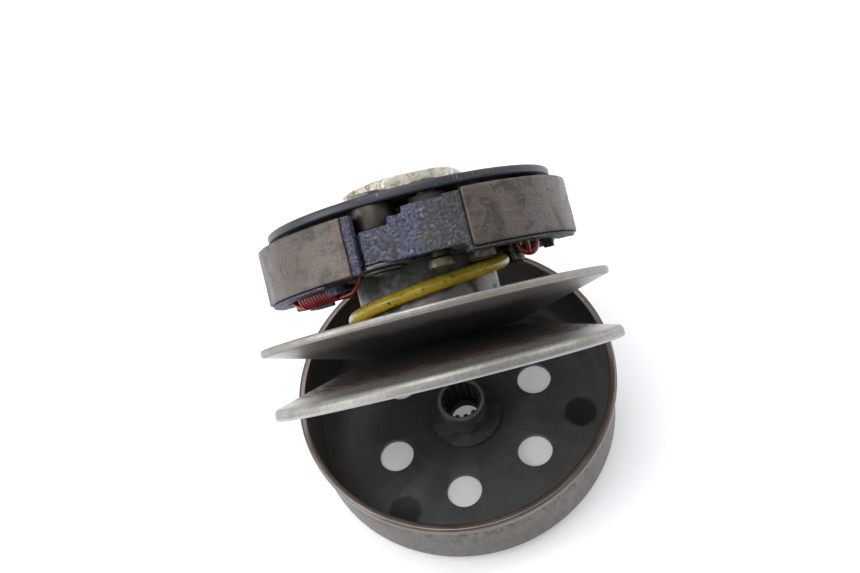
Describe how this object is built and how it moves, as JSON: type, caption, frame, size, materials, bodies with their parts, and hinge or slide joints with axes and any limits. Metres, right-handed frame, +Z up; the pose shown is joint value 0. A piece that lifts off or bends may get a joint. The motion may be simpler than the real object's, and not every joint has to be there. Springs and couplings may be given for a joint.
{
  "type": "driven pulley and centrifugal clutch set",
  "caption": "Driven belt pulley with cone sheaves, yellow contra spring and a centrifugal clutch with pivoting shoes, leaning in its open clutch bell; from a scooter's belt drive.",
  "frame": {"origin": "centre of the clutch bell's underside, where its hub bore meets the surface that it stands on", "axes": "+Z up along the bell's axis, -Y towards the side that the pulley's belt groove opens to in the picture; the pulley's own axis leans 31.65 degrees above level and points to +Y, turned 3.33 degrees towards +X"},
  "size_m": [0.117, 0.1182, 0.1249],
  "materials": {
    "drum_steel": "worn pressed steel, dark inside",
    "hub_steel": "machined steel",
    "sheave_steel": "turned and belt-polished steel with rust marks",
    "shaft_steel": "machined steel",
    "bearing_steel": "ground bearing steel",
    "clip_steel": "oil-blackened spring steel",
    "plate_steel": "blackened steel plate, scuffed edge",
    "cast_shoe": "black-painted casting",
    "friction_lining": "moulded friction material",
    "yellow_spring": "yellow paint, chipped",
    "red_spring": "red paint",
    "zinc_nut": "zinc plate with rust spots",
    "pin_steel": "yellow-passivated steel",
    "spacer_steel": "tarnished steel",
    "cage_brass": "pressed brass",
    "black_rubber": "matt"
  },
  "bodies": {
    "bell": {"bell_drum": "drum_steel", "bell_hub": "hub_steel"},
    "driven_hub": {"fixed_face": "sheave_steel", "hub_tube": "shaft_steel", "bearing_outer_ring": "bearing_steel", "bearing_circlip": "clip_steel", "needle_shell": "bearing_steel", "guide_pins": "bearing_steel", "drive_plate": "plate_steel", "pivot_pins": "shaft_steel", "pivot_spacers": "spacer_steel", "pivot_washers": "clip_steel", "e_clips": "clip_steel", "damper_pins": "pin_steel", "damper_rubbers": "black_rubber", "clutch_nut": "zinc_nut", "contra_spring": "yellow_spring"},
    "collar": {"spring_collar": "shaft_steel"},
    "movable_sheave": {"movable_face": "sheave_steel", "slotted_sleeve": "shaft_steel", "o_rings": "black_rubber", "oil_seals": "black_rubber"},
    "bearing_inner": {"bearing_inner_ring": "bearing_steel"},
    "ball_set": {"bearing_balls": "bearing_steel", "bearing_cage": "cage_brass"},
    "needle_set": {"needle_rollers": "bearing_steel", "needle_cage": "clip_steel"},
    "clutch_shoe_1": {"shoe_1": "cast_shoe", "lining_1": "friction_lining", "shoe_stud_1": "pin_steel", "shoe_spring_1": "red_spring"},
    "clutch_shoe_2": {"shoe_2": "cast_shoe", "lining_2": "friction_lining", "shoe_stud_2": "pin_steel", "shoe_spring_2": "red_spring"},
    "clutch_shoe_3": {"shoe_3": "cast_shoe", "lining_3": "friction_lining", "shoe_stud_3": "pin_steel", "shoe_spring_3": "red_spring"}
  },
  "joints": [
    {"name": "lift_off", "type": "slide", "parent": "bell", "child": "driven_hub", "axis": [0, 0, 1], "range_m": [0, 0.12]},
    {"name": "sheave_slide", "type": "slide", "parent": "driven_hub", "child": "collar", "axis": [0.0494, 0.8498, 0.5247], "range_m": [0, 0.01], "stiffness_N_per_m": 10800, "springref_m": -0.02, "deforming": ["contra_spring"]},
    {"name": "sheave_cam", "type": "hinge", "parent": "collar", "child": "movable_sheave", "pos_m": [-0.00028, 0.00065, 0.0622], "axis": [0.0494, 0.8498, 0.5247], "range_deg": [0, 35]},
    {"name": "shoe_swing_1", "type": "hinge", "parent": "driven_hub", "child": "clutch_shoe_1", "pos_m": [-0.00955, 0.00577, 0.11004], "axis": [-0.0494, -0.8498, -0.5247], "range_deg": [0, 2.8], "stiffness_Nm_per_rad": 6, "springref_deg": -14.32, "deforming": ["shoe_spring_1"]},
    {"name": "shoe_swing_2", "type": "hinge", "parent": "driven_hub", "child": "clutch_shoe_2", "pos_m": [0.03939, 0.02879, 0.06814], "axis": [-0.0494, -0.8498, -0.5247], "range_deg": [0, 2.8], "stiffness_Nm_per_rad": 6, "springref_deg": -14.32, "deforming": ["shoe_spring_2"]},
    {"name": "shoe_swing_3", "type": "hinge", "parent": "driven_hub", "child": "clutch_shoe_3", "pos_m": [-0.02637, 0.04132, 0.05405], "axis": [-0.0494, -0.8498, -0.5247], "range_deg": [0, 2.8], "stiffness_Nm_per_rad": 6, "springref_deg": -14.32, "deforming": ["shoe_spring_3"]},
    {"name": "inner_ring_spin", "type": "hinge", "parent": "driven_hub", "child": "bearing_inner", "pos_m": [-0.00081, -0.00845, 0.05658], "axis": [0.0494, 0.8498, 0.5247], "continuous": true},
    {"name": "ball_cage_spin", "type": "hinge", "parent": "driven_hub", "child": "ball_set", "pos_m": [-0.00081, -0.00845, 0.05658], "axis": [0.0494, 0.8498, 0.5247], "continuous": true},
    {"name": "needle_cage_spin", "type": "hinge", "parent": "driven_hub", "child": "needle_set", "pos_m": [0.00128, 0.02742, 0.07872], "axis": [0.0494, 0.8498, 0.5247], "continuous": true}
  ],
  "couplings": [
    {"joint": "sheave_cam", "follows": "sheave_slide", "rad_per_m": 61.08},
    {"joint": "ball_cage_spin", "follows": "inner_ring_spin", "ratio": 0.407}
  ]
}
